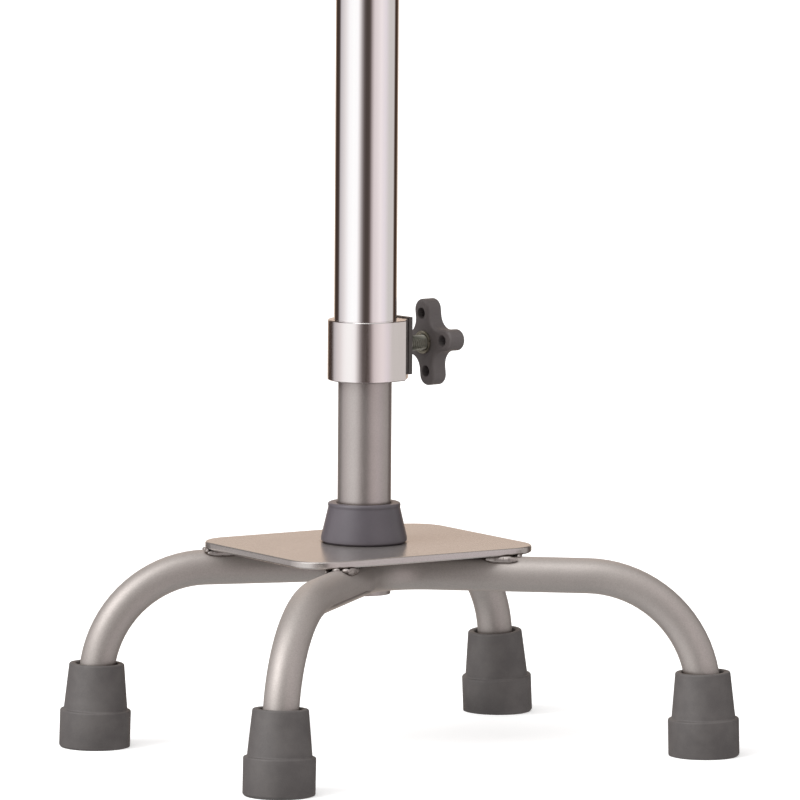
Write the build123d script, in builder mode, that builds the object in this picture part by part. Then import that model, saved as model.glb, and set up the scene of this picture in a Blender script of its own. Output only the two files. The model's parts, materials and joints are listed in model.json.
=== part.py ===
from build123d import *
import os
from math import acos, atan2, cos, degrees, hypot, radians, sin

# Quad walking cane: a height-adjustable shaft clamped onto the post of a four-footed base.
# Millimetres, +Z up. The origin is on the floor, at the middle of the footprint.
# +X is the walking direction. The wide half of the base, away from the walker, is towards -Y.

os.makedirs("parts", exist_ok=True)

# ---------------------------------------------------------------- driving dimensions
# Footprint: ferrule centres on the floor, measured from the axis of the post
outer_reach = 96.75
inner_reach = 48.25
outer_half_spacing = 101.3
inner_half_spacing = 97.9
post_y = (outer_reach - inner_reach) / 2

# Bent leg tubes (9/16 in tube), each one V in plan with its two legs bent down
leg_r = 7.15
leg_wall = 1.5
leg_z = 71.8
leg_end_z = 9.0
outer_apex_gap = 11.2
inner_apex_gap = 15.2
outer_apex_bend = 25.0
inner_apex_bend = 60.0

# Each leg: x and y of its foot from the post's axis, bend radius, splay from the vertical
legs = {
    "outer_rear": (-outer_half_spacing, -outer_reach, 48.0, 2.9),
    "outer_front": (outer_half_spacing, -outer_reach, 47.0, 1.4),
    "inner_rear": (-inner_half_spacing, inner_reach, 45.0, 1.4),
    "inner_front": (inner_half_spacing, inner_reach, 42.0, 4.0),
}

# Rubber ferrule, with a steel washer under the tube's end. Its profile starts below the floor
# by sole_overlap, and the floor plane trims the leaning sole flat.
ferrule_base_r = 14.35
ferrule_band_h = 15.2
ferrule_step_r = 12.9
ferrule_top_r = 11.1
ferrule_h = 34.0
ferrule_bore_r = leg_r + 0.05
mouth_flare = 1.3
mouth_flare_h = 12.0
sole_overlap = 2.0
washer_h = 1.6
washer_r = 6.9
washer_hole_r = 2.5
sole_groove_depth = 1.4
sole_groove_w = 1.3
sole_ring_radii = (4.6, 8.0, 11.4)

# Base plate
plate_x = 112.6
plate_y = 89.5
plate_offset_y = -3.25
plate_top_z = 82.45
plate_t = 3.0
plate_corner_r = 14.5
plate_edge_r = 0.9

# Lower post (painted steel tube) and what sits on it
post_r = 10.85
post_wall = 1.5
post_bottom_z = 61.5
post_top_z = 409.0
bush_top_h = 16.2
bush_gap = 0.6
bush_bottom_r = 17.4
bush_top_r = 14.3
bush_skirt_h = 1.2
bush_lip_h = 1.0
glide_h = 6.0
glide_stem = 14.0
glide_wall = 2.0
plug_length = 12.0
plug_floor = 2.5
plug_wall = 1.6

# Upper shaft: 1 in tube with an offset neck that brings the grip back over the post
shaft_r = 12.7
shaft_wall = 1.2
neck_start_z = 628.0
neck_reach = 74.0
neck_top_z = 700.0
grip_z = 760.0
neck_bends = (70.0, 36.0, 30.0)
shaft_end_x = -66.0

# Grip
grip_front_x = 42.0
grip_back_x = -72.0
grip_end_wall = 5.5

# Clamp at the mouth of the upper shaft
collar_z = 148.5
collar_h = 24.4
collar_r = 15.2
collar_edge = 0.3
collar_lip_h = 2.0
collar_lip_r = post_r + 0.35
clamp_z = 161.7
nose_turn = 6.75
nose_length = 17.4
nose_half_w = 6.4
nose_shoulder = (9.7, 14.0)
cap_start = 16.9
cap_end = 18.75
cap_half_w = 7.3
cap_bottom_gap = 1.55
cap_roof_reach = 0.9
cap_roof_t = 0.35
liner_h = 30.0
liner_wall = 0.55
liner_slot_w = 1.6
running = 0.05
screw_r = 3.2
nut_flats = 10.0
nut_h = 4.4
pad_r = 2.75
screw_tip = 14.2
screw_in_knob = 5.5

# Star knob
knob_face = 30.6
knob_d = 35.2
knob_t = 7.7
knob_lobe_w = 8.7
knob_waist_r = 6.2
knob_hole_r = 2.3
knob_hole_pitch_r = 11.8
knob_hole_depth = 5.4
knob_boss_r = 7.0
knob_boss_h = 1.2
knob_rest_turn = -7.4
insert_flange_r = 4.7
insert_flange_t = 1.1
insert_body_r = 4.2
insert_depth = 6.0

plate_under_z = plate_top_z - plate_t
shaft_bottom_z = collar_z + collar_lip_h
shaft_bore_r = shaft_r - shaft_wall


# ---------------------------------------------------------------- legs, washers and ferrules
def apex_y(name):
    """Where the two straight arms of a leg tube would meet, from the post's axis."""
    return -outer_apex_gap if name.startswith("outer") else inner_apex_gap


def arm_direction(name):
    """Unit vector in plan from the tube's apex to one foot."""
    foot_x, foot_y = legs[name][:2]
    return Vector(foot_x, foot_y - apex_y(name), 0).normalized()


def leg_direction(name):
    """Unit vector up along one splayed leg, leaning in towards the base."""
    splay = radians(legs[name][3])
    return arm_direction(name) * -sin(splay) + Vector(0, 0, cos(splay))


def foot_point(name):
    """Centre of one ferrule on the floor."""
    foot_x, foot_y = legs[name][:2]
    return Vector(foot_x, foot_y + post_y, 0)


def leg_point(name, height):
    """Point on one leg's axis at a height above the floor."""
    direction = leg_direction(name)
    return foot_point(name) + direction * (height / direction.Z)


tube_apex_bend = {"outer": outer_apex_bend, "inner": inner_apex_bend}
for side, apex_bend in tube_apex_bend.items():
    rear = f"{side}_rear"
    front = f"{side}_front"
    with BuildPart() as leg_tube:
        with BuildLine() as route:
            FilletPolyline(
                leg_point(rear, leg_end_z),
                leg_point(rear, leg_z),
                Vector(0, post_y + apex_y(rear), leg_z),
                leg_point(front, leg_z),
                leg_point(front, leg_end_z),
                radius=(legs[rear][2], apex_bend, legs[front][2]),
            )
        with BuildSketch(Plane(origin=route.line @ 0, z_dir=route.line % 0)):
            Circle(leg_r)
            Circle(leg_r - leg_wall, mode=Mode.SUBTRACT)
        sweep(path=route.wire())
    leg_tube.part.label = f"{side}_leg_tube"
    export_step(leg_tube.part, f"parts/{side}_leg_tube.step")

for name in legs:
    axis_dir = leg_direction(name)
    across = arm_direction(name).rotate(Axis.Z, 90)
    profile_plane = Plane(origin=foot_point(name), x_dir=across, z_dir=across.cross(axis_dir))
    end_plane = Plane(origin=leg_point(name, leg_end_z), z_dir=axis_dir)

    with BuildPart() as foot_washer:
        with BuildSketch(end_plane):
            Circle(washer_r)
            Circle(washer_hole_r, mode=Mode.SUBTRACT)
        extrude(amount=-washer_h)
    foot_washer.part.label = f"foot_washer_{name}"
    export_step(foot_washer.part, f"parts/foot_washer_{name}.step")

    with BuildPart() as rubber_foot:
        with BuildSketch(profile_plane) as profile:
            with BuildLine():
                Polyline(
                    (0, -sole_overlap),
                    (ferrule_base_r, -sole_overlap),
                    (ferrule_base_r, ferrule_band_h),
                    (ferrule_step_r, ferrule_band_h),
                    (ferrule_top_r, ferrule_h),
                    (ferrule_bore_r + mouth_flare, ferrule_h),
                    (ferrule_bore_r, ferrule_h - mouth_flare_h),
                    (ferrule_bore_r, leg_end_z - washer_h),
                    (0, leg_end_z - washer_h),
                    close=True,
                )
            make_face()
        revolve(axis=Axis(foot_point(name), axis_dir))
        rims = rubber_foot.edges().filter_by(GeomType.CIRCLE)
        top_rim = rims.filter_by(lambda rim: abs(rim.radius - ferrule_top_r) < 0.01)
        band_rim = rims.filter_by(lambda rim: abs(rim.radius - ferrule_base_r) < 0.01).sort_by(Axis.Z)[-1]
        fillet(top_rim, radius=1.3)
        fillet(band_rim, radius=0.7)
        split(bisect_by=Plane.XY, keep=Keep.TOP)
        with BuildSketch(Plane(origin=foot_point(name))):
            for ring_r in sole_ring_radii:
                Circle(ring_r + sole_groove_w / 2)
                Circle(ring_r - sole_groove_w / 2, mode=Mode.SUBTRACT)
        extrude(amount=sole_groove_depth, mode=Mode.SUBTRACT)
    rubber_foot.part.label = f"rubber_foot_{name}"
    export_step(rubber_foot.part, f"parts/rubber_foot_{name}.step")

# ---------------------------------------------------------------- base plate and its welds
with BuildPart() as base_plate:
    with BuildSketch(Plane((0, post_y + plate_offset_y, plate_under_z))):
        RectangleRounded(plate_x, plate_y, plate_corner_r)
    extrude(amount=plate_t)
    fillet(base_plate.faces().filter_by(Axis.Z).edges(), radius=plate_edge_r)
    with BuildSketch(Plane((0, post_y, plate_under_z))):
        Circle(post_r + running)
    extrude(amount=plate_t, mode=Mode.SUBTRACT)
base_plate.part.label = "base_plate"
export_step(base_plate.part, "parts/base_plate.step")

# Fillet welds: two short beads beside each arm where it leaves the plate, and a ring round
# the post below the plate
bead_r = 1.75
bead_length = 13.0
bead_side = 4.8
bead_z = plate_under_z - 1.15
ring_weld = 2.0
weld_inset = 3.0
outer_weld_run = plate_y / 2 - plate_offset_y - outer_apex_gap - weld_inset
inner_weld_run = plate_x / 2 - weld_inset
with BuildPart() as plate_welds:
    with BuildSketch(Plane((0, post_y, plate_under_z))):
        Circle(post_r + running + ring_weld)
        Circle(post_r + running, mode=Mode.SUBTRACT)
    extrude(amount=-ring_weld)
    weld_foot = plate_welds.edges().group_by(Axis.Z)[0].sort_by(SortBy.RADIUS)[-1]
    chamfer(weld_foot, length=ring_weld * 0.9)
    for name in legs:
        arm = arm_direction(name)
        side = arm.rotate(Axis.Z, 90)
        run = outer_weld_run / abs(arm.Y) if name.startswith("outer") else inner_weld_run / abs(arm.X)
        middle = Vector(0, post_y + apex_y(name), bead_z) + arm * (run - bead_length / 2)
        for hand in (-1, 1):
            with BuildSketch(Plane(middle + side * (bead_side * hand) - arm * (bead_length / 2), z_dir=arm)):
                Circle(bead_r)
            bead = extrude(amount=bead_length)
            fillet(bead.edges().filter_by(GeomType.CIRCLE), radius=bead_r * 0.85)
plate_welds.part.label = "plate_welds"
export_step(plate_welds.part, "parts/plate_welds.step")

# ---------------------------------------------------------------- lower post
with BuildPart() as lower_post:
    with BuildSketch(Plane((0, post_y, post_bottom_z))):
        Circle(post_r)
        Circle(post_r - post_wall, mode=Mode.SUBTRACT)
    extrude(amount=post_top_z - post_bottom_z)
lower_post.part.label = "lower_post"
export_step(lower_post.part, "parts/lower_post.step")

plug_r = post_r - post_wall - running
with BuildPart() as post_end_plug:
    with BuildSketch(Plane((0, post_y, post_bottom_z))):
        Circle(plug_r)
    extrude(amount=plug_length)
    with BuildSketch(Plane((0, post_y, post_bottom_z + plug_floor))):
        Circle(plug_r - plug_wall)
    extrude(amount=plug_length, mode=Mode.SUBTRACT)
    chamfer(post_end_plug.edges().group_by(Axis.Z)[0], length=0.5)
post_end_plug.part.label = "post_end_plug"
export_step(post_end_plug.part, "parts/post_end_plug.step")

with BuildPart() as post_top_glide:
    with BuildSketch(Plane((0, post_y, post_top_z - glide_stem))):
        Circle(plug_r)
        Circle(plug_r - glide_wall, mode=Mode.SUBTRACT)
    extrude(amount=glide_stem)
    with BuildSketch(Plane((0, post_y, post_top_z))):
        Circle(shaft_bore_r - 0.08)
        Circle(plug_r - glide_wall, mode=Mode.SUBTRACT)
    extrude(amount=glide_h)
    chamfer(post_top_glide.edges().group_by(Axis.Z)[-1].sort_by(SortBy.RADIUS)[-1], length=1)
post_top_glide.part.label = "post_top_glide"
export_step(post_top_glide.part, "parts/post_top_glide.step")

# Tapered bush: a skirt that hides the post's joint with the plate, just clear of the plate
bush_z = plate_top_z + bush_gap
bush_top_z = plate_top_z + bush_top_h
with BuildPart() as post_bush:
    with BuildSketch(Plane.XZ.offset(-post_y)):
        with BuildLine():
            Polyline(
                (post_r + running, bush_z),
                (bush_bottom_r, bush_z),
                (bush_bottom_r, bush_z + bush_skirt_h),
                (bush_top_r, bush_top_z - bush_lip_h),
                (bush_top_r, bush_top_z),
                (post_r + running, bush_top_z),
                close=True,
            )
        make_face()
    revolve(axis=Axis((0, post_y, 0), (0, 0, 1)))
    bush_rim = post_bush.edges().group_by(Axis.Z)[-1].sort_by(SortBy.RADIUS)[-1]
    fillet(bush_rim, radius=0.9)
post_bush.part.label = "post_bush"
export_step(post_bush.part, "parts/post_bush.step")

# ---------------------------------------------------------------- clamp planes
# nose_dir points from the post's axis along the clamp screw, level with the floor
nose_dir = Vector(1, 0, 0).rotate(Axis.Z, nose_turn)
nose_side = nose_dir.rotate(Axis.Z, 90)


def level_plane(height):
    """Horizontal plane on the post's axis, with its own x along the clamp's nose."""
    return Plane((0, post_y, height), x_dir=nose_dir, z_dir=(0, 0, 1))


screw_plane = Plane((0, post_y, clamp_z), x_dir=nose_side, z_dir=nose_dir)
screw_axis = Axis(screw_plane.origin, nose_dir)

# ---------------------------------------------------------------- upper shaft
with BuildPart() as upper_tube:
    with BuildLine() as shaft_route:
        FilletPolyline(
            (0, post_y, shaft_bottom_z),
            (0, post_y, neck_start_z),
            (neck_reach, post_y, neck_top_z),
            (neck_reach, post_y, grip_z),
            (shaft_end_x, post_y, grip_z),
            radius=neck_bends,
        )
    with BuildSketch(Plane((0, post_y, shaft_bottom_z))):
        Circle(shaft_r)
        Circle(shaft_bore_r, mode=Mode.SUBTRACT)
    sweep(path=shaft_route.wire())
    with BuildSketch(screw_plane):
        Circle(pad_r + 0.35)
    extrude(amount=shaft_r + 2, mode=Mode.SUBTRACT)
upper_tube.part.label = "upper_tube"
export_step(upper_tube.part, "parts/upper_tube.step")

with BuildPart() as liner_sleeve:
    with BuildSketch(level_plane(shaft_bottom_z + 0.2)):
        Circle(post_r + running + liner_wall)
        Circle(post_r + running, mode=Mode.SUBTRACT)
        with Locations((-post_r, 0)):
            Rectangle(4, liner_slot_w, mode=Mode.SUBTRACT)
    extrude(amount=liner_h)
liner_sleeve.part.label = "liner_sleeve"
export_step(liner_sleeve.part, "parts/liner_sleeve.step")

# ---------------------------------------------------------------- clamp collar, cap and nut
shoulder_x, shoulder_y = nose_shoulder
flank_angle = degrees(atan2(shoulder_y, shoulder_x) + acos(collar_r / hypot(shoulder_x, shoulder_y)))
flank_x = collar_r * cos(radians(flank_angle))
flank_y = collar_r * sin(radians(flank_angle))
with BuildPart() as clamp_collar:
    with BuildSketch(level_plane(collar_z)):
        Circle(collar_r)
        Polygon(
            (0, -flank_y), (flank_x, -flank_y), (shoulder_x, -shoulder_y), (nose_length, -nose_half_w),
            (nose_length, nose_half_w), (shoulder_x, shoulder_y), (flank_x, flank_y), (0, flank_y),
            align=None,
        )
    extrude(amount=collar_h)
    chamfer(clamp_collar.faces().filter_by(Axis.Z).edges(), length=collar_edge)
    with BuildSketch(level_plane(collar_z)):
        Circle(collar_lip_r)
    extrude(amount=collar_h, mode=Mode.SUBTRACT)
    with BuildSketch(level_plane(shaft_bottom_z)):
        Circle(shaft_r + running)
    extrude(amount=collar_h, mode=Mode.SUBTRACT)
    with BuildSketch(screw_plane):
        Circle(screw_r + 0.3)
    extrude(amount=nose_length + 2, mode=Mode.SUBTRACT)
    with BuildSketch(screw_plane.offset(nose_length - nut_h)):
        RegularPolygon(nut_flats / 2 + running, 6, major_radius=False, rotation=30)
    extrude(amount=nut_h + 2, mode=Mode.SUBTRACT)
clamp_collar.part.label = "clamp_collar"
export_step(clamp_collar.part, "parts/clamp_collar.step")

# Moulded cap over the end of the nose, which keeps the nut in its pocket. It laps over the
# nose's flanks and has a thin roof over its top edge.
nose_end = nose_length + running
nose_end_y = nose_half_w + running
with BuildPart() as nose_cap:
    with BuildSketch(level_plane(collar_z + cap_bottom_gap)):
        with Locations(((cap_start + cap_end) / 2, 0)):
            Rectangle(cap_end - cap_start, 2 * cap_half_w)
        Polygon(
            (shoulder_x, -shoulder_y - running), (nose_end, -nose_end_y),
            (nose_end, nose_end_y), (shoulder_x, shoulder_y + running),
            align=None, mode=Mode.SUBTRACT,
        )
    extrude(amount=collar_h - cap_bottom_gap + running)
    with BuildSketch(level_plane(collar_z + collar_h + running)):
        with Locations(((cap_start - cap_roof_reach + cap_end) / 2, 0)):
            Rectangle(cap_end - cap_start + cap_roof_reach, 2 * cap_half_w)
    extrude(amount=cap_roof_t)
    with BuildSketch(screw_plane.offset(nose_length)):
        Circle(screw_r + 0.4)
    extrude(amount=cap_end, mode=Mode.SUBTRACT)
nose_cap.part.label = "nose_cap"
export_step(nose_cap.part, "parts/nose_cap.step")

with BuildPart() as clamp_nut:
    with BuildSketch(screw_plane.offset(nose_length - nut_h)):
        RegularPolygon(nut_flats / 2, 6, major_radius=False, rotation=30)
        Circle(screw_r + running, mode=Mode.SUBTRACT)
    extrude(amount=nut_h - running)
clamp_nut.part.label = "clamp_nut"
export_step(clamp_nut.part, "parts/clamp_nut.step")

# ---------------------------------------------------------------- clamp screw, pad and knob
screw_head = knob_face + screw_in_knob
with BuildPart() as clamp_screw:
    with BuildSketch(screw_plane.offset(screw_tip)):
        Circle(screw_r)
    extrude(amount=screw_head - screw_tip)
    chamfer(clamp_screw.edges().filter_by(GeomType.CIRCLE), length=0.6)
clamp_screw.part.label = "clamp_screw"
export_step(clamp_screw.part, "parts/clamp_screw.step")

# Nylon pad between the screw and the liner, hollowed to the liner's curve
with BuildPart() as pressure_pad:
    with BuildSketch(screw_plane.offset(post_r)):
        Circle(pad_r)
    extrude(amount=screw_tip - 0.1 - post_r)
    with BuildSketch(level_plane(clamp_z - 5)):
        Circle(shaft_bore_r + 0.02)
    extrude(amount=10, mode=Mode.SUBTRACT)
pressure_pad.part.label = "pressure_pad"
export_step(pressure_pad.part, "parts/pressure_pad.step")

with BuildPart() as star_knob:
    with BuildSketch(screw_plane.offset(knob_face)) as star:
        for quarter in (0, 90):
            SlotOverall(knob_d, knob_lobe_w, rotation=knob_rest_turn + quarter)
        waists = star.vertices().sort_by_distance((0, 0, 0))[:4]
        fillet(waists, radius=knob_waist_r)
    extrude(amount=knob_t)
    fillet(star_knob.faces().filter_by(screw_axis).edges(), radius=1.3)
    with BuildSketch(screw_plane.offset(knob_face + knob_t)):
        Circle(knob_boss_r)
    extrude(amount=knob_boss_h, taper=20)
    with BuildSketch(screw_plane.offset(knob_face)):
        with PolarLocations(knob_hole_pitch_r, 4, start_angle=knob_rest_turn):
            Circle(knob_hole_r)
    extrude(amount=knob_hole_depth, mode=Mode.SUBTRACT)
    with BuildSketch(screw_plane.offset(knob_face)):
        Circle(insert_body_r + 0.02)
    extrude(amount=insert_depth, mode=Mode.SUBTRACT)
star_knob.part.label = "star_knob"
export_step(star_knob.part, "parts/star_knob.step")

with BuildPart() as knob_insert:
    with BuildSketch(screw_plane.offset(knob_face - insert_flange_t)):
        Circle(insert_flange_r)
    extrude(amount=insert_flange_t - 0.02)
    with BuildSketch(screw_plane.offset(knob_face - insert_flange_t)):
        Circle(insert_body_r)
    extrude(amount=insert_flange_t + insert_depth - 0.1)
    with BuildSketch(screw_plane.offset(knob_face - insert_flange_t)):
        Circle(screw_r + 0.02)
    extrude(amount=insert_flange_t + insert_depth, mode=Mode.SUBTRACT)
knob_insert.part.label = "knob_insert"
export_step(knob_insert.part, "parts/knob_insert.step")

# ---------------------------------------------------------------- grip
# Oval sections along the grip: distance from its front as a share of its length, then the
# width and height of the oval
grip_sections = (
    (0.0, 31.0, 32.0),
    (0.12, 32.0, 34.0),
    (0.38, 33.5, 37.0),
    (0.7, 32.5, 35.0),
    (0.9, 34.0, 37.0),
    (1.0, 31.0, 33.0),
)
grip_length = grip_front_x - grip_back_x
with BuildPart() as grip:
    for share, width, height in grip_sections:
        section_x = grip_front_x - share * grip_length
        with BuildSketch(Plane((section_x, post_y, grip_z), x_dir=(0, 1, 0), z_dir=(1, 0, 0))):
            Ellipse(width / 2, height / 2)
    loft()
    fillet(grip.faces().sort_by(Axis.X)[0].edges(), radius=4)
    fillet(grip.faces().sort_by(Axis.X)[-1].edges(), radius=2)
    bore_start = Plane((grip_back_x + grip_end_wall, post_y, grip_z), x_dir=(0, 1, 0), z_dir=(1, 0, 0))
    with BuildSketch(bore_start):
        Circle(shaft_r + running)
    extrude(amount=grip_length, mode=Mode.SUBTRACT)
grip.part.label = "grip"
export_step(grip.part, "parts/grip.step")

with BuildPart() as grip_end_plug:
    with BuildSketch(Plane((shaft_end_x, post_y, grip_z), z_dir=(1, 0, 0))):
        Circle(shaft_bore_r - running)
    extrude(amount=plug_length)
    with BuildSketch(Plane((shaft_end_x + plug_floor, post_y, grip_z), z_dir=(1, 0, 0))):
        Circle(shaft_bore_r - running - plug_wall)
    extrude(amount=plug_length, mode=Mode.SUBTRACT)
grip_end_plug.part.label = "grip_end_plug"
export_step(grip_end_plug.part, "parts/grip_end_plug.step")
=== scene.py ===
import json
from math import atan2, cos, degrees, pi, radians, sin, tan

import bpy
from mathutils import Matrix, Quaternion, Vector


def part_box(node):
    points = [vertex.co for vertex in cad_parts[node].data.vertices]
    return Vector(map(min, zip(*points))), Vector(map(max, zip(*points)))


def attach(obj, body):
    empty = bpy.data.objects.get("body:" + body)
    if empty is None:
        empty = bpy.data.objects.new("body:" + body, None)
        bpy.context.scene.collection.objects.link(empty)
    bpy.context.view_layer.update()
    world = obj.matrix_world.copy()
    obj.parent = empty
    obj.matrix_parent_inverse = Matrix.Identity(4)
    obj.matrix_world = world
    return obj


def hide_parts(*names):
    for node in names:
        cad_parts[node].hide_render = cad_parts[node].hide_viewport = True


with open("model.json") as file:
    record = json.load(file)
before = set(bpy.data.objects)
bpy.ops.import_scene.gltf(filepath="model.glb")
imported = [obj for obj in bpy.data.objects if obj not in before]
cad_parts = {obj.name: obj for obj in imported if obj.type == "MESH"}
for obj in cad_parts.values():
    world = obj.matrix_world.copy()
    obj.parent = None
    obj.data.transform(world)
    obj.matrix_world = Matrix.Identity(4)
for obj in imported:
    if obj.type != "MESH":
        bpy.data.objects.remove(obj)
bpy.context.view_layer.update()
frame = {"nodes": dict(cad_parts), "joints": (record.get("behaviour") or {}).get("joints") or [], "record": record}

nodes = frame["nodes"]

# ------------------------------------------------------------------ base plate
# Pressed steel plate with rounded corners, sprayed silver.
# The leg tubes and the post are welded to its underside.


def colour(red, green, blue):
    """Display values from 0 to 255, as the linear colour that a shader takes."""
    return tuple((v / 12.92) if v <= 0.04045 else ((v + 0.055) / 1.055) ** 2.4
                 for v in (red / 255, green / 255, blue / 255))


def new_finish(name, tone, roughness, metallic=0.0):
    """A material with one Principled shader: returns the material, its tree and the shader."""
    material = bpy.data.materials.new(name)
    material.use_nodes = True
    shader = material.node_tree.nodes["Principled BSDF"]
    shader.inputs["Base Color"].default_value = (*tone, 1)
    shader.inputs["Roughness"].default_value = roughness
    shader.inputs["Metallic"].default_value = metallic
    return material, material.node_tree, shader


def grain(tree, cells_per_m, stretch=(1, 1, 1), detail=2.0, flakes=False):
    """A fine pattern on the piece's own coordinates: soft noise, or flat flakes."""
    place = tree.nodes.new("ShaderNodeTexCoord")
    mapping = tree.nodes.new("ShaderNodeMapping")
    mapping.inputs["Scale"].default_value = stretch
    tree.links.new(place.outputs["Object"], mapping.inputs["Vector"])
    if flakes:
        pattern = tree.nodes.new("ShaderNodeTexVoronoi")
        split = tree.nodes.new("ShaderNodeSeparateColor")
        tree.links.new(pattern.outputs["Color"], split.inputs["Color"])
        result = split.outputs["Red"]
    else:
        pattern = tree.nodes.new("ShaderNodeTexNoise")
        pattern.inputs["Detail"].default_value = detail
        result = pattern.outputs["Fac"]
    pattern.inputs["Scale"].default_value = cells_per_m
    tree.links.new(mapping.outputs["Vector"], pattern.inputs["Vector"])
    return result


def remap(tree, value, low, high, start=0.0, end=1.0):
    """The value's run from start to end, turned into a run from low to high."""
    node = tree.nodes.new("ShaderNodeMapRange")
    node.inputs["From Min"].default_value = start
    node.inputs["From Max"].default_value = end
    node.inputs["To Min"].default_value = low
    node.inputs["To Max"].default_value = high
    tree.links.new(value, node.inputs["Value"])
    return node.outputs["Result"]


def blend_tones(tree, value, first, second):
    """Colour that goes from first to second as value goes from 0 to 1."""
    node = tree.nodes.new("ShaderNodeMix")
    node.data_type = "RGBA"
    tree.links.new(value, node.inputs[0])
    for tone, socket in ((first, node.inputs[6]), (second, node.inputs[7])):
        if isinstance(tone, tuple):
            socket.default_value = (*tone, 1)
        else:
            tree.links.new(tone, socket)
    return node.outputs[2]


def relief(tree, shader, height, depth, under=None):
    """Bump of a depth in metres, laid over the relief under it. Returns its normal."""
    node = tree.nodes.new("ShaderNodeBump")
    node.inputs["Distance"].default_value = depth
    tree.links.new(height, node.inputs["Height"])
    if under is not None:
        tree.links.new(under, node.inputs["Normal"])
    tree.links.new(node.outputs["Normal"], shader.inputs["Normal"])
    return node.outputs["Normal"]


def coat(piece, material):
    """Puts one finish on a piece, in place of what it has."""
    piece.data.materials.clear()
    piece.data.materials.append(material)


def silver_paint(name, dark, light, roughness, metallic, flake_size):
    """Silver metallic paint: flakes of two tones, soft clouds, an uneven sprayed skin, and painted shade that
    darkens it to brown in crevices.
    """
    material, tree, shader = new_finish(name, light, roughness, metallic)
    flakes = grain(tree, 1 / flake_size, flakes=True)
    clouds = remap(tree, grain(tree, 60, detail=3), 0.0, 1.0, 0.3, 0.7)
    tone = blend_tones(tree, flakes, dark, light)
    clouded = blend_tones(tree, clouds, tuple(c * 0.9 for c in light), light)
    mixed = tree.nodes.new("ShaderNodeMix")
    mixed.data_type = "RGBA"
    mixed.inputs[0].default_value = 0.5
    tree.links.new(tone, mixed.inputs[6])
    tree.links.new(clouded, mixed.inputs[7])
    # Painted shade: ambient occlusion over 2.2 mm darkens the base colour towards dark brown in crevices, in
    # folds, where parts meet and under the plate.
    crevice = tree.nodes.new("ShaderNodeAmbientOcclusion")
    crevice.inputs["Distance"].default_value = 0.0022
    crevice_shade = remap(tree, crevice.outputs["AO"], 0.0, 1.0, 0.35, 0.8)
    tree.links.new(blend_tones(tree, crevice_shade, (0.12, 0.085, 0.065), mixed.outputs[2]),
                   shader.inputs["Base Color"])
    skin = grain(tree, 1400, detail=2)
    tree.links.new(remap(tree, skin, roughness - 0.04, roughness + 0.05, 0.3, 0.7),
                   shader.inputs["Roughness"])
    relief(tree, shader, skin, 0.00002)
    return material


plate_paint = silver_paint("plate_paint", (0.45, 0.42, 0.40), (0.55, 0.52, 0.50), 0.22, 0.75, 0.0003)
coat(nodes["base_plate"], plate_paint)

# ------------------------------------------------------------------ leg tubes
# Two steel tubes, each bent into a V with a leg at either end, in silver powder coat with a
# fine sparkle. The outer one buckled a little where it was bent tightest, and shows a crease.
millimetre = 0.001
tube_r = 7.15 * millimetre
tube_wall = 1.5 * millimetre
leg_axis_z = 71.8 * millimetre
leg_end_z = 9.0 * millimetre
post_low, post_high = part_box("lower_post")
post_axis = Vector(((post_low.x + post_high.x) / 2, (post_low.y + post_high.y) / 2, 0))
feet = {mount["name"].removeprefix("rest_"): Vector(mount["pos_m"])
        for mount in frame["record"]["mounts"]}
apex = {"outer": post_axis + Vector((0, -11.2 * millimetre, 0)),
        "inner": post_axis + Vector((0, 15.2 * millimetre, 0))}
apex_bend = {"outer": 25 * millimetre, "inner": 60 * millimetre}
# Each leg's bend radius in millimetres, and its splay from the vertical in degrees
leg_shape = {"outer_rear": (48, 2.9), "outer_front": (47, 1.4),
             "inner_rear": (45, 1.4), "inner_front": (42, 4.0)}


def arm_way(name):
    """Level direction from a tube's apex to one foot."""
    return (feet[name] - apex[name.split("_")[0]]).normalized()


def leg_way(name):
    """Direction up along one splayed leg."""
    splay = radians(leg_shape[name][1])
    return arm_way(name) * -sin(splay) + Vector((0, 0, cos(splay)))


def leg_place(name, height):
    """Point on a leg's axis at a height above the floor."""
    return feet[name] + leg_way(name) * (height / leg_way(name).z)


def choose(piece, wanted):
    """In edit mode, selects just the vertices whose place passes the test."""
    bpy.ops.object.select_all(action="DESELECT")
    piece.select_set(True)
    bpy.context.view_layer.objects.active = piece
    bpy.ops.object.mode_set(mode="EDIT")
    bpy.ops.mesh.select_mode(type="VERT")
    bpy.ops.mesh.select_all(action="DESELECT")
    bpy.ops.object.mode_set(mode="OBJECT")
    for vertex in piece.data.vertices:
        vertex.select = wanted(vertex.co)
    bpy.ops.object.mode_set(mode="EDIT")


def apply_modifier(piece, kind, **settings):
    """Adds a modifier, gives it these settings, and applies it."""
    modifier = piece.modifiers.new(kind.lower(), kind)
    for setting, value in settings.items():
        setattr(modifier, setting, value)
    bpy.context.view_layer.objects.active = piece
    bpy.ops.object.modifier_apply(modifier=modifier.name)


def smooth(piece, angle=30):
    """Shades a piece smooth, except across edges sharper than the angle."""
    bpy.ops.object.select_all(action="DESELECT")
    piece.select_set(True)
    bpy.context.view_layer.objects.active = piece
    bpy.ops.object.shade_smooth_by_angle(angle=radians(angle))


def push_on(step, parts):
    """Draws the selected rim straight on, in equal parts."""
    for _ in range(parts):
        bpy.ops.mesh.extrude_region_move(TRANSFORM_OT_translate={"value": step / parts})


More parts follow.
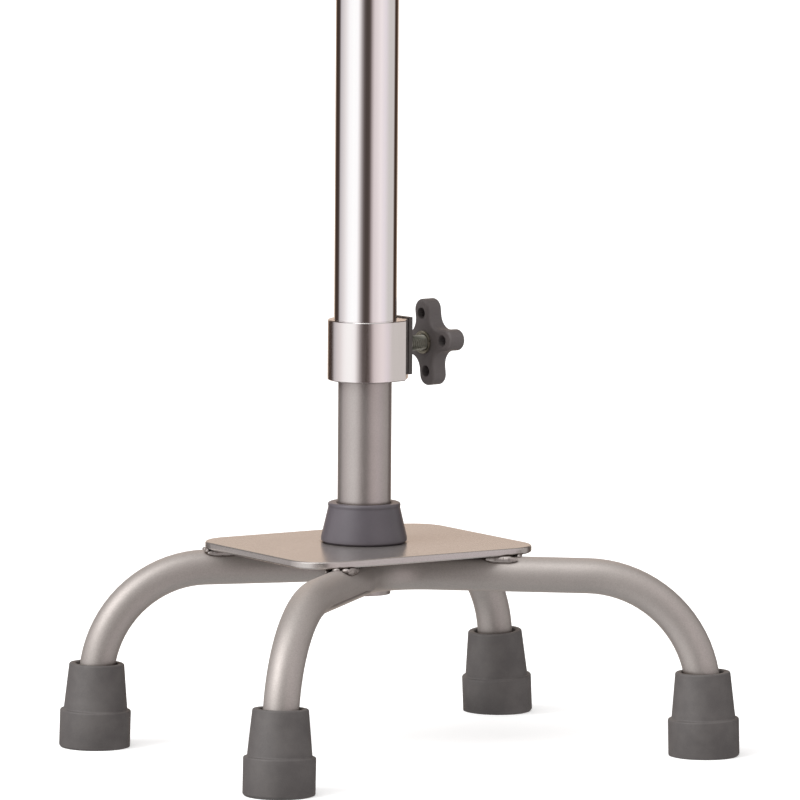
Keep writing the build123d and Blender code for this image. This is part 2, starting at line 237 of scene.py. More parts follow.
def bent_tube(name, corners, radii, parts):
    """A round tube through these corners, with each bend spun round its own centre."""
    bpy.ops.object.select_all(action="DESELECT")
    facing = (corners[1] - corners[0]).to_track_quat("Z", "Y").to_euler()
    bpy.ops.mesh.primitive_circle_add(vertices=48, radius=tube_r, location=corners[0], rotation=facing)
    tube = bpy.context.object
    tube.name = name
    bpy.ops.object.transform_apply(location=True, rotation=True, scale=True)
    bpy.ops.object.mode_set(mode="EDIT")
    bpy.ops.mesh.select_all(action="SELECT")
    reached = corners[0]
    for before, corner, after, radius in zip(corners, corners[1:], corners[2:], radii):
        way_in = (corner - before).normalized()
        way_out = (after - corner).normalized()
        turn = way_in.angle(way_out)
        hinge = way_in.cross(way_out).normalized()
        run_in = corner - way_in * (radius * tan(turn / 2))
        push_on(run_in - reached, parts)
        bpy.ops.mesh.spin(steps=20, angle=-turn, center=run_in + hinge.cross(way_in) * radius,
                          axis=hinge, use_auto_merge=False)
        reached = corner + way_out * (radius * tan(turn / 2))
    push_on(corners[-1] - reached, parts)
    bpy.ops.mesh.select_all(action="SELECT")
    bpy.ops.mesh.remove_doubles(threshold=millimetre / 1000)
    bpy.ops.mesh.normals_make_consistent(inside=False)
    bpy.ops.object.mode_set(mode="OBJECT")
    return tube


tube_paint = silver_paint("tube_paint", (0.345, 0.312, 0.293), (0.47, 0.432, 0.408),
                          0.46, 0.45, 0.0003)
leg_tubes = {}
for side in ("outer", "inner"):
    rear, front = f"{side}_rear", f"{side}_front"
    route = (leg_place(rear, leg_end_z), leg_place(rear, leg_axis_z),
             apex[side] + Vector((0, 0, leg_axis_z)),
             leg_place(front, leg_axis_z), leg_place(front, leg_end_z))
    bends = (leg_shape[rear][0] * millimetre, apex_bend[side], leg_shape[front][0] * millimetre)
    leg_tubes[side] = bent_tube(f"{side}_bent_tube", route, bends, 10)


def press(piece, centre, spread, shift):
    """Moves the metal near a point, fading to nothing at the spread, as a dent or a bulge."""
    choose(piece, lambda place: (place - centre).length < spread * 0.3)
    bpy.ops.transform.translate(value=shift, use_proportional_edit=True, proportional_size=spread,
                                proportional_edit_falloff="SMOOTH", use_proportional_connected=True)
    bpy.ops.object.mode_set(mode="OBJECT")


# The crease: the wall under one arm folded as it was bent, from a small peak out to the leg.
arm = arm_way("outer_rear")
side_way = Vector((0, 0, 1)).cross(arm)
middle = apex["outer"] + Vector((0, 0, leg_axis_z))
fold_start = 33 * millimetre
fold_end = 84 * millimetre


def wall_way(angle):
    """Outward direction on the arm's inner side, at an angle up from straight down."""
    return side_way * sin(radians(angle)) - Vector((0, 0, cos(radians(angle))))


def on_fold(place, low, high):
    """True on the folded length of the arm, between two of those angles."""
    out = place - middle
    along = out.dot(arm)
    angle = degrees(atan2(out.dot(side_way), -out.z))
    return fold_start < along < fold_end and low < angle < high


for low, high, shift in ((55, 65, -1.2), (65, 80, 0.4)):
    choose(leg_tubes["outer"], lambda place: on_fold(place, low, high))
    bpy.ops.transform.translate(value=wall_way((low + high) / 2) * (shift * millimetre))
    bpy.ops.object.mode_set(mode="OBJECT")
peak = middle + arm * fold_start + wall_way(72) * tube_r
press(leg_tubes["outer"], peak, 6 * millimetre, wall_way(72) * (1.4 * millimetre))

for side, tube in leg_tubes.items():
    apply_modifier(tube, "SOLIDIFY", thickness=tube_wall, offset=-1)
    smooth(tube, 35)
    coat(tube, tube_paint)
    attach(tube, "base")
    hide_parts(f"{side}_leg_tube")

# ------------------------------------------------------------------ welds
# Hand-laid beads where each tube leaves the plate, and a ring round the post below it, all
# painted over. A bead is a row of overlapping ripples that thins out at both ends.
plate_low, plate_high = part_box("base_plate")
plate_corner = 14.5 * millimetre
weld_paint, weld_tree, weld_shader = new_finish("weld_paint", (0.46, 0.42, 0.40), 0.3, 0.7)
weld_rough = grain(weld_tree, 700, detail=4)
weld_tree.links.new(remap(weld_tree, weld_rough, 0.24, 0.42, 0.3, 0.7), weld_shader.inputs["Roughness"])
weld_tree.links.new(blend_tones(weld_tree, weld_rough, (0.36, 0.33, 0.31), (0.50, 0.46, 0.44)),
                    weld_shader.inputs["Base Color"])
relief(weld_tree, weld_shader, weld_rough, 0.00012)


def weld_bead(name, place, way, length, radius):
    """A rippled bead of a length and radius, centred on a place and running along a way."""
    bpy.ops.object.select_all(action="DESELECT")
    ripples = max(3, round(length / (1.1 * millimetre)))
    pitch = length / ripples / 2
    bpy.ops.mesh.primitive_circle_add(vertices=14, radius=radius * 0.35, fill_type="NGON",
                                      location=(0, 0, -length / 2))
    bead = bpy.context.object
    bead.name = name
    bpy.ops.object.mode_set(mode="EDIT")
    bpy.ops.mesh.select_all(action="SELECT")
    size = 0.35
    for step in range(ripples * 2):
        reach = (step + 1) / (ripples * 2)
        swell = min(1.0, 0.35 + 2.6 * min(reach, 1 - reach))
        wanted = swell * (1.0 if step % 2 == 0 else 0.92)
        bpy.ops.mesh.extrude_region_move(TRANSFORM_OT_translate={"value": (0, 0, pitch)})
        bpy.ops.transform.resize(value=(wanted / size, wanted / size, 1),
                                 center_override=(0, 0, -length / 2 + pitch * (step + 1)))
        size = wanted
    bpy.ops.mesh.select_all(action="SELECT")
    bpy.ops.mesh.normals_make_consistent(inside=False)
    bpy.ops.object.mode_set(mode="OBJECT")
    bead.rotation_mode = "QUATERNION"
    bead.rotation_quaternion = way.to_track_quat("Z", "Y")
    bead.location += place
    bead.location -= Vector((0, 0, -length / 2))
    bpy.ops.object.transform_apply(location=True, rotation=True, scale=True)
    apply_modifier(bead, "SUBSURF", levels=2, render_levels=2)
    smooth(bead, 180)
    coat(bead, weld_paint)
    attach(bead, "base")


def plate_exit(name):
    """How far along an arm its axis passes out from under the plate's rounded corner."""
    along = 0
    while True:
        place = apex[name.split("_")[0]] + arm_way(name) * along
        over_x = max(plate_low.x + plate_corner - place.x, place.x - plate_high.x + plate_corner, 0)
        over_y = max(plate_low.y + plate_corner - place.y, place.y - plate_high.y + plate_corner, 0)
        if Vector((over_x, over_y)).length > plate_corner:
            return along
        along += millimetre / 10


plate_under = plate_low.z
for name in leg_shape:
    arm = arm_way(name)
    across = Vector((0, 0, 1)).cross(arm)
    edge = apex[name.split("_")[0]] + arm * plate_exit(name)
    for hand in (-1, 1):
        side_place = edge - arm * (13 * millimetre) + across * (4.7 * millimetre * hand)
        side_place.z = plate_under - 1.3 * millimetre
        hand_name = "left" if hand > 0 else "right"
        weld_bead(f"weld_{name}_{hand_name}", side_place, arm, 13 * millimetre, 1.5 * millimetre)
        tip_place = edge + arm * (0.1 * millimetre) + across * (2.1 * millimetre * hand)
        tip_place.z = plate_under - 0.35 * millimetre
        weld_bead(f"weld_{name}_tip_{hand_name}", tip_place, across, 3.2 * millimetre,
                  0.9 * millimetre)

weld_ring_r = 11.9 * millimetre
weld_ring_slices = 96
bpy.ops.object.select_all(action="DESELECT")
bpy.ops.mesh.primitive_torus_add(major_radius=weld_ring_r, minor_radius=1.5 * millimetre,
                                 major_segments=weld_ring_slices, minor_segments=12,
                                 location=(post_axis.x, post_axis.y, plate_under - 0.7 * millimetre))
weld_ring = bpy.context.object
weld_ring.name = "weld_post_ring"
bpy.ops.object.transform_apply(location=True, rotation=False, scale=False)
for slice_number in range(0, weld_ring_slices, 2):
    turn = 2 * pi * slice_number / weld_ring_slices
    spoke = post_axis + Vector((cos(turn), sin(turn), 0)) * weld_ring_r
    choose(weld_ring, lambda place: (Vector((place.x, place.y, 0)) - spoke).length < 1.6 * millimetre
           and abs((Vector((place.x, place.y, 0)) - post_axis).cross(spoke - post_axis).z) < 1e-6)
    bpy.ops.transform.resize(value=(1.0, 1.0, 0.82), center_override=(spoke.x, spoke.y, plate_under))
    bpy.ops.object.mode_set(mode="OBJECT")
apply_modifier(weld_ring, "SUBSURF", levels=1, render_levels=1)
smooth(weld_ring, 180)
coat(weld_ring, weld_paint)
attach(weld_ring, "base")
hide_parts("plate_welds")

# ------------------------------------------------------------------ lower post
# Straight painted tube that stands in the plate, closed by a plug at its foot and by a glide
# bush at its head, inside the shaft.
post_paint = silver_paint("post_paint", (0.39, 0.355, 0.34), (0.485, 0.447, 0.43), 0.33, 0.72, 0.0003)
coat(nodes["lower_post"], post_paint)

plug_black, plug_tree, plug_shader = new_finish("plug_black", (0.022, 0.021, 0.022), 0.55)
relief(plug_tree, plug_shader, grain(plug_tree, 2500), 0.00003)
for name in ("post_end_plug", "post_top_glide", "grip_end_plug"):
    coat(nodes[name], plug_black)

# ------------------------------------------------------------------ post bush
# Tapered skirt of satin blue-grey plastic, pushed down the post onto the plate.
bush_grey, bush_tree, bush_shader = new_finish("bush_grey", (0.12, 0.108, 0.125), 0.34)
bush_skin = grain(bush_tree, 1500, detail=3)
bush_tone = blend_tones(bush_tree, grain(bush_tree, 90, detail=4),
                        (0.10, 0.09, 0.103), (0.135, 0.121, 0.138))
bush_tree.links.new(bush_tone, bush_shader.inputs["Base Color"])
bush_tree.links.new(remap(bush_tree, bush_skin, 0.29, 0.42, 0.3, 0.7), bush_shader.inputs["Roughness"])
relief(bush_tree, bush_shader, bush_skin, 0.00002)


def turned(name, outline, steps=96):
    """Turns an outline of (radius, height) points, in millimetres, about the vertical axis."""
    bpy.ops.object.select_all(action="DESELECT")
    first_r, first_h = outline[0]
    start = (first_r * millimetre, 0, first_h * millimetre)
    bpy.ops.mesh.primitive_plane_add(size=millimetre, location=start)
    piece = bpy.context.object
    piece.name = name
    bpy.ops.object.transform_apply(location=True, rotation=False, scale=False)
    bpy.ops.object.mode_set(mode="EDIT")
    bpy.ops.mesh.select_all(action="SELECT")
    bpy.ops.mesh.merge(type="CENTER")
    for (r, h), (next_r, next_h) in zip(outline, outline[1:]):
        step = ((next_r - r) * millimetre, 0, (next_h - h) * millimetre)
        bpy.ops.mesh.extrude_region_move(TRANSFORM_OT_translate={"value": step})
    bpy.ops.mesh.select_all(action="SELECT")
    bpy.ops.mesh.spin(steps=steps, angle=2 * pi, center=(0, 0, 0), axis=(0, 0, 1))
    bpy.ops.mesh.select_all(action="SELECT")
    bpy.ops.mesh.remove_doubles(threshold=millimetre / 1000)
    bpy.ops.mesh.normals_make_consistent(inside=False)
    bpy.ops.object.mode_set(mode="OBJECT")
    return piece


def soften(piece, width, segments, angle=30):
    """Rounds every edge sharper than the angle, and shades the piece smooth."""
    apply_modifier(piece, "BEVEL", width=width, segments=segments, limit_method="ANGLE",
                   angle_limit=radians(angle))
    smooth(piece, 35)


bush_outline = (
    (10.95, 0.05), (16.7, 0.05), (16.7, 0.5), (17.2, 0.5), (17.45, 0.9), (17.4, 2.2), (14.55, 14.4),
    (14.75, 15.2), (14.6, 15.9), (14.1, 16.2), (11.6, 16.2), (10.95, 15.6), (10.95, 0.05),
)
bush = turned("post_skirt", bush_outline)
bush.location = (post_axis.x, post_axis.y, plate_high.z)
bpy.ops.object.transform_apply(location=True, rotation=False, scale=False)
soften(bush, 0.25 * millimetre, 2, 20)
coat(bush, bush_grey)
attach(bush, "base")
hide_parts("post_bush")

# ------------------------------------------------------------------ ferrules
# Four moulded rubber ferrules with a heavy band at the floor, each pushed onto its leg over a
# steel washer. They lean with their legs, and their grooved soles sit flat.
ferrule_outline = (
    (0, 0), (3.9, 0), (3.9, 1.5), (5.3, 1.5), (5.3, 0), (7.3, 0), (7.3, 1.5), (8.7, 1.5),
    (8.7, 0), (10.7, 0), (10.7, 1.5), (12.1, 1.5), (12.1, 0), (14.35, 0), (14.35, 15.2),
    (12.9, 15.2), (11.1, 34.0), (8.5, 34.0), (7.2, 22.0), (7.2, 7.4), (0, 7.4),
)


rubber, rubber_tree, rubber_shader = new_finish("ferrule_rubber", (0.112, 0.102, 0.099), 0.6)
rubber_bloom = grain(rubber_tree, 120, detail=5)
rubber_tone = blend_tones(rubber_tree, remap(rubber_tree, rubber_bloom, 0, 1, 0.35, 0.65),
                          (0.098, 0.089, 0.087), (0.124, 0.113, 0.109))
rubber_tree.links.new(rubber_tone, rubber_shader.inputs["Base Color"])
rubber_skin = grain(rubber_tree, 1800, detail=3)
rubber_tree.links.new(remap(rubber_tree, rubber_skin, 0.52, 0.72, 0.3, 0.7),
                      rubber_shader.inputs["Roughness"])
relief(rubber_tree, rubber_shader, rubber_skin, 0.00004)

pattern_ferrule = turned("pattern_ferrule", ferrule_outline)
soften(pattern_ferrule, 0.0007, 3)
for name, foot in feet.items():
    bpy.ops.object.select_all(action="DESELECT")
    ferrule = pattern_ferrule.copy()
    ferrule.data = pattern_ferrule.data.copy()
    ferrule.name = f"ferrule_{name}"
    bpy.context.scene.collection.objects.link(ferrule)
    ferrule.rotation_mode = "QUATERNION"
    ferrule.rotation_quaternion = Vector((0, 0, 1)).rotation_difference(leg_way(name))
    ferrule.location = foot
    ferrule.select_set(True)
    bpy.context.view_layer.objects.active = ferrule
    bpy.ops.object.transform_apply(location=True, rotation=True, scale=True)
    choose(ferrule, lambda place: place.z < 0 or (place - foot).dot(leg_way(name)) < 0.05 * millimetre)
    bpy.ops.transform.resize(value=(1, 1, 0), center_override=(0, 0, 0), orient_type="GLOBAL")
    bpy.ops.object.mode_set(mode="OBJECT")
    coat(ferrule, rubber)
    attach(ferrule, "base")
    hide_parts(f"rubber_foot_{name}")
bpy.data.objects.remove(pattern_ferrule)

zinc, zinc_tree, zinc_shader = new_finish("zinc_plate", (0.50, 0.52, 0.47), 0.35, 1.0)
zinc_skin = grain(zinc_tree, 700, detail=3)
zinc_tree.links.new(blend_tones(zinc_tree, zinc_skin, (0.34, 0.35, 0.30), (0.50, 0.51, 0.46)),
                    zinc_shader.inputs["Base Color"])
zinc_tree.links.new(remap(zinc_tree, zinc_skin, 0.25, 0.45, 0.3, 0.7), zinc_shader.inputs["Roughness"])
relief(zinc_tree, zinc_shader, zinc_skin, 0.00002)
for name in feet:
    coat(nodes[f"foot_washer_{name}"], zinc)

# ------------------------------------------------------------------ liner
# Split sleeve of natural nylon between the post and the shaft, held in the mouth of the collar.
nylon, nylon_tree, nylon_shader = new_finish("natural_nylon", (0.72, 0.70, 0.64), 0.4)
nylon_shader.inputs["Subsurface Weight"].default_value = 0.1
relief(nylon_tree, nylon_shader, grain(nylon_tree, 1200), 0.00002)
coat(nodes["liner_sleeve"], nylon)

# ------------------------------------------------------------------ upper shaft
# Inch tube with an offset neck under the grip, chrome plated to a mirror. The plating shows
# faint polishing lines round the tube.
chrome, chrome_tree, chrome_shader = new_finish("mirror_chrome", (0.86, 0.85, 0.85), 0.05, 1.0)
polish = grain(chrome_tree, 60, stretch=(1, 1, 40), detail=3)
haze = grain(chrome_tree, 25, detail=5)
chrome_tree.links.new(remap(chrome_tree, haze, 0.035, 0.085, 0.35, 0.75),
                      chrome_shader.inputs["Roughness"])
relief(chrome_tree, chrome_shader, polish, 0.0000015)
coat(nodes["upper_tube"], chrome)

# ------------------------------------------------------------------ clamp collar
# Extruded collar with a square nose, satin nickel plated, pressed onto the shaft's mouth. It
# keeps a fine upright grain from its extrusion.
nickel, nickel_tree, nickel_shader = new_finish("satin_nickel", (0.80, 0.765, 0.755), 0.19, 1.0)
draw_lines = grain(nickel_tree, 1600, stretch=(1, 1, 0.02), detail=3)
nickel_tree.links.new(blend_tones(nickel_tree, draw_lines, (0.77, 0.735, 0.725), (0.83, 0.80, 0.79)),
                      nickel_shader.inputs["Base Color"])
nickel_tree.links.new(remap(nickel_tree, draw_lines, 0.15, 0.23, 0.3, 0.7),
                      nickel_shader.inputs["Roughness"])
relief(nickel_tree, nickel_shader, draw_lines, 0.0000035)
coat(nodes["clamp_collar"], nickel)

cap_plastic, cap_tree, cap_shader = new_finish("cap_plastic", (0.075, 0.066, 0.062), 0.42)
cap_skin = grain(cap_tree, 1400, detail=3)
cap_tree.links.new(remap(cap_tree, cap_skin, 0.36, 0.5, 0.3, 0.7), cap_shader.inputs["Roughness"])
relief(cap_tree, cap_shader, cap_skin, 0.00002)
coat(nodes["nose_cap"], cap_plastic)
coat(nodes["clamp_nut"], zinc)
coat(nodes["pressure_pad"], nylon)

# ------------------------------------------------------------------ clamp screw
# Zinc-plated screw with a rolled thread, moulded into the knob, and the flanged ring that
# holds it there. The ring has a raised lip round a shallow recess.
joints = {joint["name"]: joint for joint in frame["joints"]}
screw_way = Vector(joints["knob_turn"]["axis"]).normalized()
screw_start = Vector(joints["knob_turn"]["pos_m"])


def reach(node):
    """Nearest and farthest distance of a node from the post's axis, along the screw."""
    along = [(vertex.co - screw_start).dot(screw_way) for vertex in nodes[node].data.vertices]
    return min(along), max(along)


def set_on_screw(piece, distance):
    """Turns a piece's upright axis onto the screw's, that far from the post's axis."""
    bpy.ops.object.select_all(action="DESELECT")
    piece.select_set(True)
    bpy.context.view_layer.objects.active = piece
    piece.rotation_mode = "QUATERNION"
    piece.rotation_quaternion = screw_way.to_track_quat("Z", "Y")
    piece.location = screw_start + screw_way * distance
    bpy.ops.object.transform_apply(location=True, rotation=True, scale=True)


screw_tip, screw_head = reach("clamp_screw")
thread_r = 3.2 * millimetre
thread_depth = 0.55 * millimetre
thread_pitch = 1.0 * millimetre
bpy.ops.object.select_all(action="DESELECT")
bpy.ops.mesh.primitive_plane_add(size=millimetre, location=(thread_r - thread_depth, 0, -thread_pitch))
screw = bpy.context.object
screw.name = "threaded_screw"
bpy.ops.object.transform_apply(location=True, rotation=False, scale=False)
bpy.ops.object.mode_set(mode="EDIT")
bpy.ops.mesh.select_all(action="SELECT")
bpy.ops.mesh.merge(type="CENTER")
for out, up in ((0, 0.14), (0.85, 0.28), (0.15, 0.08), (-0.15, 0.08), (-0.85, 0.42)):
    step = (out * thread_depth, 0, up * thread_pitch)
    bpy.ops.mesh.extrude_region_move(TRANSFORM_OT_translate={"value": step})
bpy.ops.object.mode_set(mode="OBJECT")
screw_length = screw_head - screw_tip
apply_modifier(screw, "SCREW", axis="Z", angle=2 * pi, screw_offset=thread_pitch, steps=40,
               render_steps=40, iterations=int(screw_length / thread_pitch) + 3,
               use_merge_vertices=True, merge_threshold=millimetre / 1000)
bpy.ops.object.mode_set(mode="EDIT")
bpy.ops.mesh.select_all(action="SELECT")
bpy.ops.mesh.remove_doubles(threshold=millimetre / 1000)
bpy.ops.mesh.bisect(plane_co=(0, 0, 0), plane_no=(0, 0, 1), use_fill=True, clear_inner=True)
bpy.ops.mesh.select_all(action="SELECT")
bpy.ops.mesh.bisect(plane_co=(0, 0, screw_length), plane_no=(0, 0, 1), use_fill=True, clear_outer=True)
bpy.ops.mesh.select_all(action="SELECT")
bpy.ops.mesh.normals_make_consistent(inside=False)
bpy.ops.object.mode_set(mode="OBJECT")
set_on_screw(screw, screw_tip)
smooth(screw, 40)
coat(screw, zinc)
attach(screw, "knob")
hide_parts("clamp_screw")

insert_low, insert_high = reach("knob_insert")
insert_length = (insert_high - insert_low) / millimetre
insert_outline = (
    (3.24, 0.55), (3.6, 0.35), (3.9, 0.35), (4.1, 0.05), (4.4, 0), (4.65, 0.15), (4.7, 0.4),
    (4.7, 1.08), (4.2, 1.08), (4.2, insert_length), (3.24, insert_length), (3.24, 0.55),
)
insert = turned("flanged_ring", insert_outline, 64)
smooth(insert, 40)
set_on_screw(insert, insert_low)
brass, brass_tree, brass_shader = new_finish("passivated_zinc", (0.36, 0.34, 0.26), 0.34, 1.0)
brass_skin = grain(brass_tree, 900, detail=3)
brass_tree.links.new(blend_tones(brass_tree, brass_skin, (0.26, 0.25, 0.19), (0.44, 0.42, 0.34)),
                     brass_shader.inputs["Base Color"])
brass_tree.links.new(remap(brass_tree, brass_skin, 0.26, 0.42, 0.3, 0.7),
                     brass_shader.inputs["Roughness"])
coat(insert, brass)
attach(insert, "knob")
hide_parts("knob_insert")

# ------------------------------------------------------------------ star knob
knob_nylon, knob_tree, knob_shader = new_finish("knob_nylon", (0.132, 0.116, 0.114), 0.5)
knob_skin = grain(knob_tree, 1500, detail=4)
knob_tree.links.new(remap(knob_tree, knob_skin, 0.44, 0.6, 0.3, 0.7), knob_shader.inputs["Roughness"])
relief(knob_tree, knob_shader, knob_skin, 0.00004)
coat(nodes["star_knob"], knob_nylon)

# ------------------------------------------------------------------ grip
# Moulded vinyl hand grip pushed over the tube's end, with shallow swells along it and a rounded
# closed end. A fine pebbled skin covers it.
grip_low, grip_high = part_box("grip")
plug_low, plug_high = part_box("grip_end_plug")
grip_centre = Vector((0, (grip_low.y + grip_high.y) / 2, (plug_low.z + plug_high.z) / 2))
grip_mouth_x = grip_high.x - 1 * millimetre
grip_bore_r = 12.75 * millimetre
bpy.ops.object.select_all(action="DESELECT")
bpy.ops.mesh.primitive_circle_add(vertices=40, radius=grip_bore_r, location=(0, 0, 0),
                                  rotation=(0, pi / 2, 0))
grip = bpy.context.object
grip.name = "hand_grip"
grip.location = (grip_high.x - 30 * millimetre, grip_centre.y, grip_centre.z)
bpy.ops.object.transform_apply(location=True, rotation=True, scale=True)
bpy.ops.object.mode_set(mode="EDIT")
bpy.ops.mesh.select_all(action="SELECT")
bpy.ops.mesh.extrude_region_move(TRANSFORM_OT_translate={"value": (29 * millimetre, 0, 0)})
ring_x = grip_mouth_x
width = height = grip_bore_r
# Rings from the front lip to the closed end: distance back, half width and half height
swell_pitch = 23
rings = [(-1.0, 13.6, 13.7), (-0.9, 14.8, 15.2), (0.4, 15.3, 15.9), (2.2, 15.4, 16.0)]
for step in range(33):
    swell = cos(step * 3.0 / swell_pitch * 2 * pi)
    rings.append((step * 3.0 + 5.0, 16.1 - 0.35 * cos(step * 0.19) + 0.25 * swell,
                  17.1 + 0.9 * sin(step * 3.0 / 108 * pi) + 0.55 * swell))
rings += [(103.5, 16.6, 17.9), (106.0, 16.6, 17.9), (108.6, 16.2, 17.5), (110.8, 15.1, 16.3),
          (112.2, 13.2, 14.2), (112.9, 10.0, 10.8), (113.0, 5.0, 5.4)]
for back, half_width, half_height in rings:
    new_x = grip_mouth_x - back * millimetre
    bpy.ops.mesh.extrude_region_move(TRANSFORM_OT_translate={"value": (new_x - ring_x, 0, 0)})
    new_width, new_height = half_width * millimetre, half_height * millimetre
    bpy.ops.transform.resize(value=(1, new_width / width, new_height / height),
                             center_override=(new_x, grip_centre.y, grip_centre.z))
    ring_x, width, height = new_x, new_width, new_height
bpy.ops.mesh.edge_collapse()
bpy.ops.mesh.select_all(action="SELECT")
bpy.ops.mesh.normals_make_consistent(inside=False)
bpy.ops.object.mode_set(mode="OBJECT")
apply_modifier(grip, "SUBSURF", levels=2, render_levels=2)
smooth(grip, 60)
grip_vinyl, grip_tree, grip_shader = new_finish("grip_vinyl", (0.085, 0.08, 0.082), 0.55)
pebbles = grip_tree.nodes.new("ShaderNodeTexVoronoi")
pebbles.feature = "SMOOTH_F1"
pebbles.inputs["Scale"].default_value = 900
pebble_place = grip_tree.nodes.new("ShaderNodeTexCoord")
grip_tree.links.new(pebble_place.outputs["Object"], pebbles.inputs["Vector"])
grip_wear = grain(grip_tree, 45, detail=4)
grip_tone = blend_tones(grip_tree, remap(grip_tree, grip_wear, 0.2, 0.8, 0.3, 0.7),
                        (0.07, 0.066, 0.068), (0.105, 0.10, 0.102))
grip_tree.links.new(grip_tone, grip_shader.inputs["Base Color"])
grip_tree.links.new(remap(grip_tree, grip_wear, 0.62, 0.42, 0.3, 0.7), grip_shader.inputs["Roughness"])
relief(grip_tree, grip_shader, pebbles.outputs["Distance"], 0.00025)
coat(grip, grip_vinyl)
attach(grip, "upper_shaft")
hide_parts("grip")

# ------------------------------------------------------------------ studio
# A wide pale floor, a softbox overhead, a broad window light from the left, and a ring of lit
# and dark cards round the cane that only its glossy surfaces see.
view_azimuth = radians(-32.851)

bpy.ops.object.select_all(action="DESELECT")
bpy.ops.mesh.primitive_plane_add(size=60, location=(0, 0, 0))
floor = bpy.context.object
floor.name = "studio_floor"
floor_white, _, floor_shader = new_finish("floor_white", (0.93, 0.93, 0.93), 0.8)
floor_shader.inputs["Specular IOR Level"].default_value = 0.1
floor_shader.inputs["Emission Color"].default_value = (1, 1, 1, 1)
floor_shader.inputs["Emission Strength"].default_value = 0.4
coat(floor, floor_white)
floor.visible_diffuse = False
floor.visible_glossy = False

# Card tones round the cane: degrees from the viewing side, then the tone seen in the chrome
card_tones = (
    (-180, (212, 191, 175)), (-160, (208, 188, 172)), (-151, (100, 84, 72)), (-145, (62, 48, 40)),
    (-123, (64, 53, 49)), (-117, (100, 92, 90)), (-110, (190, 184, 186)), (-85, (226, 220, 220)),
    (-66, (250, 248, 249)), (-49, (255, 255, 255)), (-33, (254, 252, 253)), (-25, (222, 216, 216)),
    (-17, (158, 151, 151)), (-9, (98, 89, 87)), (-2, (74, 65, 62)), (7, (74, 65, 61)),
    (13, (96, 85, 83)), (20, (172, 160, 160)), (28, (214, 203, 204)), (54, (236, 226, 227)),
    (72, (224, 215, 220)), (92, (202, 197, 194)), (118, (198, 193, 191)), (123, (130, 118, 112)),
    (126, (64, 50, 42)), (143, (62, 48, 40)), (150, (100, 84, 72)), (160, (208, 188, 172)),
    (180, (212, 191, 175)),
)
bpy.ops.object.select_all(action="DESELECT")
bpy.ops.mesh.primitive_cylinder_add(vertices=128, radius=1.2, depth=3.6, end_fill_type="NOTHING",
                                    location=(post_axis.x, post_axis.y, 0.6))
cards = bpy.context.object
cards.name = "studio_cards"
card_light = bpy.data.materials.new("card_light")
card_light.use_nodes = True
card_tree = card_light.node_tree
card_tree.nodes.clear()
place = card_tree.nodes.new("ShaderNodeTexCoord")
turn = card_tree.nodes.new("ShaderNodeMapping")
turn.vector_type = "POINT"
turn.inputs["Rotation"].default_value = (0, 0, pi / 2 - view_azimuth)
sweep = card_tree.nodes.new("ShaderNodeTexGradient")
sweep.gradient_type = "RADIAL"
ramp = card_tree.nodes.new("ShaderNodeValToRGB")
emit = card_tree.nodes.new("ShaderNodeEmission")
surface_out = card_tree.nodes.new("ShaderNodeOutputMaterial")
stops = ramp.color_ramp.elements
stops[0].position, stops[1].position = 0.0, 1.0
stops[0].color = stops[1].color = (*colour(*card_tones[0][1]), 1)
for angle, tone in card_tones[1:-1]:
    stop = stops.new((angle + 180) / 360)
    stop.color = (*colour(*tone), 1)
emit.inputs["Strength"].default_value = 1.16
for source, target in ((place.outputs["Object"], turn.inputs["Vector"]),
                       (turn.outputs["Vector"], sweep.inputs["Vector"]),
                       (sweep.outputs["Fac"], ramp.inputs["Fac"]),
                       (ramp.outputs["Color"], emit.inputs["Color"]),
                       (emit.outputs["Emission"], surface_out.inputs["Surface"])):
    card_tree.links.new(source, target)
coat(cards, card_light)
cards.visible_camera = False
cards.visible_diffuse = False
cards.visible_shadow = False
cards.visible_transmission = False

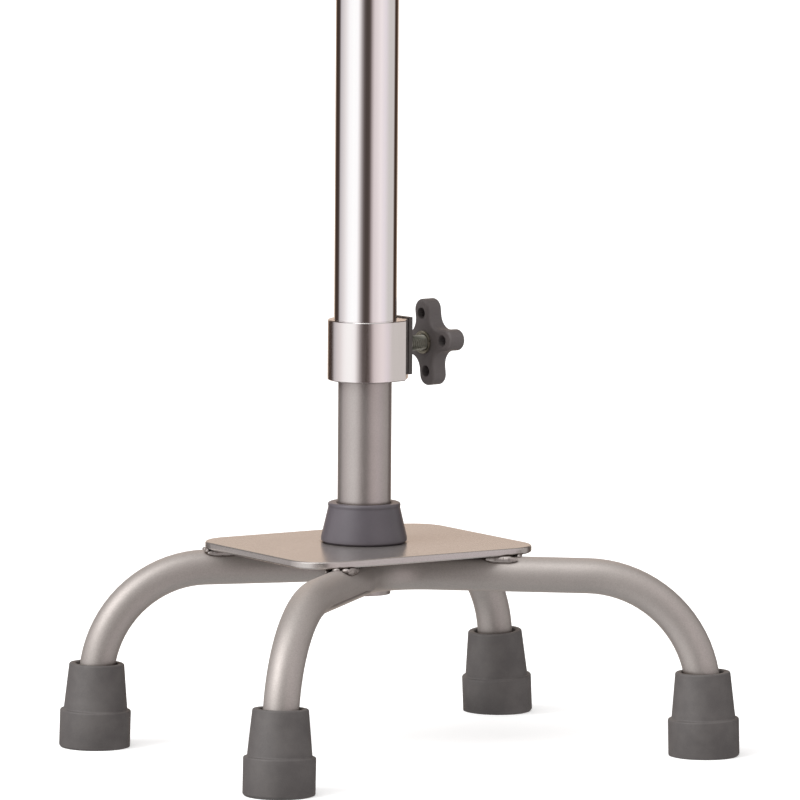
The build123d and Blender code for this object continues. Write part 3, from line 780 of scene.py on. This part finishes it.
world = bpy.data.worlds.new("studio_air")
bpy.context.scene.world = world
world.use_nodes = True
world.node_tree.nodes["Background"].inputs["Color"].default_value = (1, 0.99, 0.985, 1)
world.node_tree.nodes["Background"].inputs["Strength"].default_value = 0.62

softbox_bearing = view_azimuth - pi / 2 + radians(-30)
softbox_data = bpy.data.lights.new("top_softbox", "AREA")
softbox_data.size = 1.6
softbox_data.energy = 16
softbox = bpy.data.objects.new("top_softbox", softbox_data)
bpy.context.scene.collection.objects.link(softbox)
softbox.location = (cos(softbox_bearing) * 1.2, sin(softbox_bearing) * 1.2, 2.9)
softbox.rotation_mode = "QUATERNION"
softbox.rotation_quaternion = (Vector((0, 0, 0.1)) - softbox.location).to_track_quat("-Z", "Y")

window_bearing = view_azimuth - pi / 2 + radians(-62)
window_way = Vector((-cos(window_bearing), -sin(window_bearing), -0.85))
window_data = bpy.data.lights.new("key_window", "SUN")
window_data.energy = 1.9
window_data.angle = radians(40)
window = bpy.data.objects.new("key_window", window_data)
bpy.context.scene.collection.objects.link(window)
window.rotation_mode = "QUATERNION"
window.rotation_quaternion = window_way.to_track_quat("-Z", "Y")

# ------------------------------------------------------------------ camera
# A long lens from a little above, so that upright lines stay upright.
camera_data = bpy.data.cameras.new("camera")
camera = bpy.data.objects.new("camera", camera_data)
bpy.context.scene.collection.objects.link(camera)
bpy.context.scene.camera = camera
camera_data.sensor_width = 36
camera_data.lens = 415.25
camera_data.clip_end = 200
view_drop = radians(6.221)
view_roll = radians(0.401)
view_distance = 3.7269
target = Vector((post_axis.x, post_axis.y, 0.160))
forward = Vector((-sin(view_azimuth) * cos(view_drop), cos(view_azimuth) * cos(view_drop),
                  -sin(view_drop)))
level_right = Vector((cos(view_azimuth), sin(view_azimuth), 0))
level_up = level_right.cross(forward)
rolled_right = cos(view_roll) * level_right + sin(view_roll) * level_up
rolled_up = cos(view_roll) * level_up - sin(view_roll) * level_right
camera.location = target - forward * view_distance
aim = target + rolled_right * 0.01405 - rolled_up * 0.01976
look = (aim - camera.location).to_track_quat("-Z", "Y")
camera.rotation_mode = "QUATERNION"
camera.rotation_quaternion = look @ Quaternion((0, 0, 1), view_roll)
bpy.context.scene.view_settings.view_transform = "Standard"
